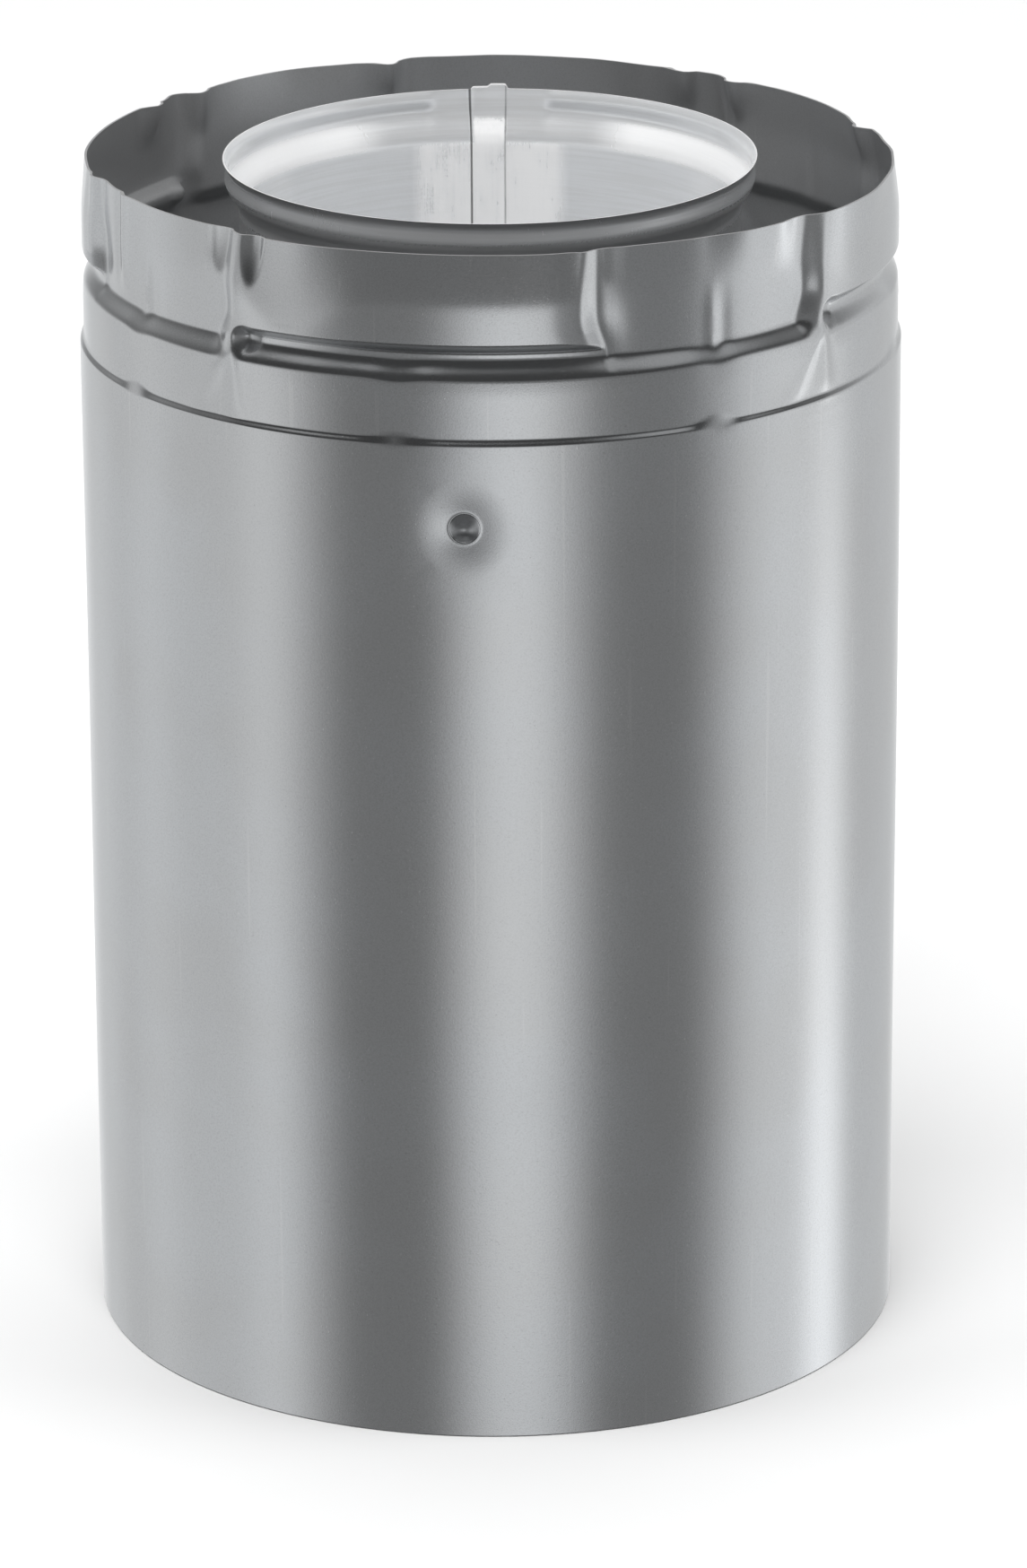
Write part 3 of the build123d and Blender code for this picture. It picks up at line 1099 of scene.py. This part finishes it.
# The inside has a paler tone than the outside: painted light for the lit inside of the flue. Its heavier
# scuffing is wear.
paler_inner_aluminium = aluminium_finish("paler inner aluminium", 0.90, 0.14, 0.42, 0.97)
cut_aluminium = edge_finish("cut aluminium edge", 0.95, 0.5)
finish_sheet(flue, aluminium, paler_inner_aluminium, cut_aluminium)
for strap in straps:
    strap.data.materials.append(strap_zinc)

# %% [markdown]
# ## The studio
# Smooth metal shows the room more than itself, so the room is part of the work. A photographer
# stands pale boards and dark boards round such a pipe: the boards give the long soft bands that
# make it read as round. Here the boards are soft-edged patches of the world, each with a direction,
# a width and a strength. They are far away, so every height of the wall sees the same bands.

# %% The boards round the pipe
world = bpy.data.worlds.new("studio")
bpy.context.scene.world = world
world.use_nodes = True
room = Recipe(world.node_tree)
direction = room.node("ShaderNodeTexCoord").outputs["Generated"]
east, north, up = room.node("ShaderNodeSeparateXYZ", None, Vector=direction).outputs
azimuth = room.math("DEGREES", room.math("ARCTAN2", east, room.times(north, -1.0)))
altitude = room.math("DEGREES", room.math("ARCSINE", up))

room_shade = 0.06
boards = (
    ("floor glow", 0, 180, 1, -110, -58, 8, 0.06),
    ("table glow", 0, 180, 1, -31, -6, 5, 0.165),
    ("table haze", 0, 180, 1, -6, 11, 6, 0.13),
    ("left wall", -122, 71, 12, -48, 1, 9, 0.42),
    ("right wall", 131.5, 65.5, 12, -48, 20, 9, 0.42),
    ("left edge", -67, 6, 9, -48, 1, 8, 0.15),
    ("left glint", -112, 8, 10, -48, 1, 8, 0.09),
    ("left far", -145, 8, 10, -48, 1, 8, 0.07),
    ("right panel", 109, 8, 9, -48, -17, 5, 0.75),
    ("right edge", 84, 8, 9, -48, 28, 8, 0.13),
    ("right glint", 92, 4, 7, -24, -8, 5, 0.13),
    ("front strip", 6, 15, 12, -28, -9, 5, 0.69),
    ("front wing", 27, 6, 9, -20, -8, 4, 0.09),
    ("top light", 0, 60, 20, 70, 86, 4, 0.42),
    ("left high", -50, 20, 12, 60, 78, 3, 0.45),
    ("left low", -88, 20, 8, 50, 66, 3, 0.42),
    ("left dim", -130, 45, 12, 10, 60, 8, 0.11),
    ("right high", 80, 28, 12, 42, 76, 8, 0.34),
    ("back high", 180, 60, 25, 16, 60, 14, 0.30),
    ("zenith", 0, 180, 1, 82, 100, 3, 1.0),
)


def board(middle, half_width, side_fade, low, high, end_fade, strength):
    """A soft-edged patch of light, by direction and altitude in degrees."""
    turned = room.math("WRAP", room.math("SUBTRACT", azimuth, float(middle)), 180.0, -180.0)
    across = room.math("ABSOLUTE", turned)
    wide = room.fade(across, half_width + side_fade, half_width - side_fade)
    above = room.fade(altitude, low - end_fade, low + end_fade)
    under = room.fade(altitude, high + end_fade, high - end_fade)
    return room.times(room.times(wide, room.times(above, under)), strength)


light = room_shade
for _, *patch in boards:
    light = room.math("ADD", light, board(*patch))
backdrop = room.node("ShaderNodeBackground", None, Strength=light)
backdrop.inputs["Color"].default_value = (0.985, 0.995, 1.0, 1.0)
room.node("ShaderNodeOutputWorld", None, Surface=backdrop.outputs["Background"])
print(len(boards), "boards")

# %% [markdown]
# ## Floor and silks
# The floor is plain and pale and runs far past the pipe. The metal mustn't mirror it, or the bands
# of the boards would be lost, so the floor is hidden from glossy rays and keeps only its shadow.
# Four lamps behind round silks light the floor evenly and fall into the flue: one in front, one on
# each side and one overhead. They are hidden from glossy rays too, because the boards above already
# are what the metal mirrors.

# %% Floor and silks
floor_gap = 0.0003
silks = (
    ("front silk", (-0.4, -2.2, 3.4), 3.0, 118.0),
    ("left silk", (-3.0, -0.4, 3.0), 2.4, 43.0),
    ("right silk", (3.0, -0.4, 3.0), 2.4, 43.0),
    ("overhead silk", (0, 1.7, 3.8), 4.0, 62.0),
)


def lay_floor(half_side=14.0):
    """A large square floor just under the pipe."""
    corners = [(x * half_side, y * half_side, 0) for x, y in ((-1, -1), (1, -1), (1, 1), (-1, 1))]
    mesh = bpy.data.meshes.new("floor")
    mesh.from_pydata(corners, [], [(0, 1, 2, 3)])
    floor = bpy.data.objects.new("floor", mesh)
    floor.location.z = -floor_gap
    bpy.context.scene.collection.objects.link(floor)
    floor.visible_glossy = False
    return floor


def hang_silk(name, place, size, energy):
    """A round silk with a lamp behind it, aimed at the pipe."""
    light_data = bpy.data.lights.new(name, "AREA")
    light_data.shape = "DISK"
    light_data.size = size
    light_data.energy = energy
    silk = bpy.data.objects.new(name, light_data)
    silk.location = place
    silk.rotation_euler = (Vector((0, 0, 0.1)) - silk.location).to_track_quat("-Z", "Y").to_euler()
    silk.visible_glossy = False
    bpy.context.scene.collection.objects.link(silk)


floor_paint, recipe = new_finish("floor paint")
paint = recipe.node("ShaderNodeBsdfDiffuse", None, Color=(0.86, 0.86, 0.86, 1.0))
recipe.node("ShaderNodeOutputMaterial", None, Surface=paint.outputs["BSDF"])
floor = lay_floor()
floor.data.materials.append(floor_paint)
for silk in silks:
    hang_silk(*silk)
bpy.context.scene.view_settings.view_transform = "Standard"
print("floor and", len(silks), "silks in place")
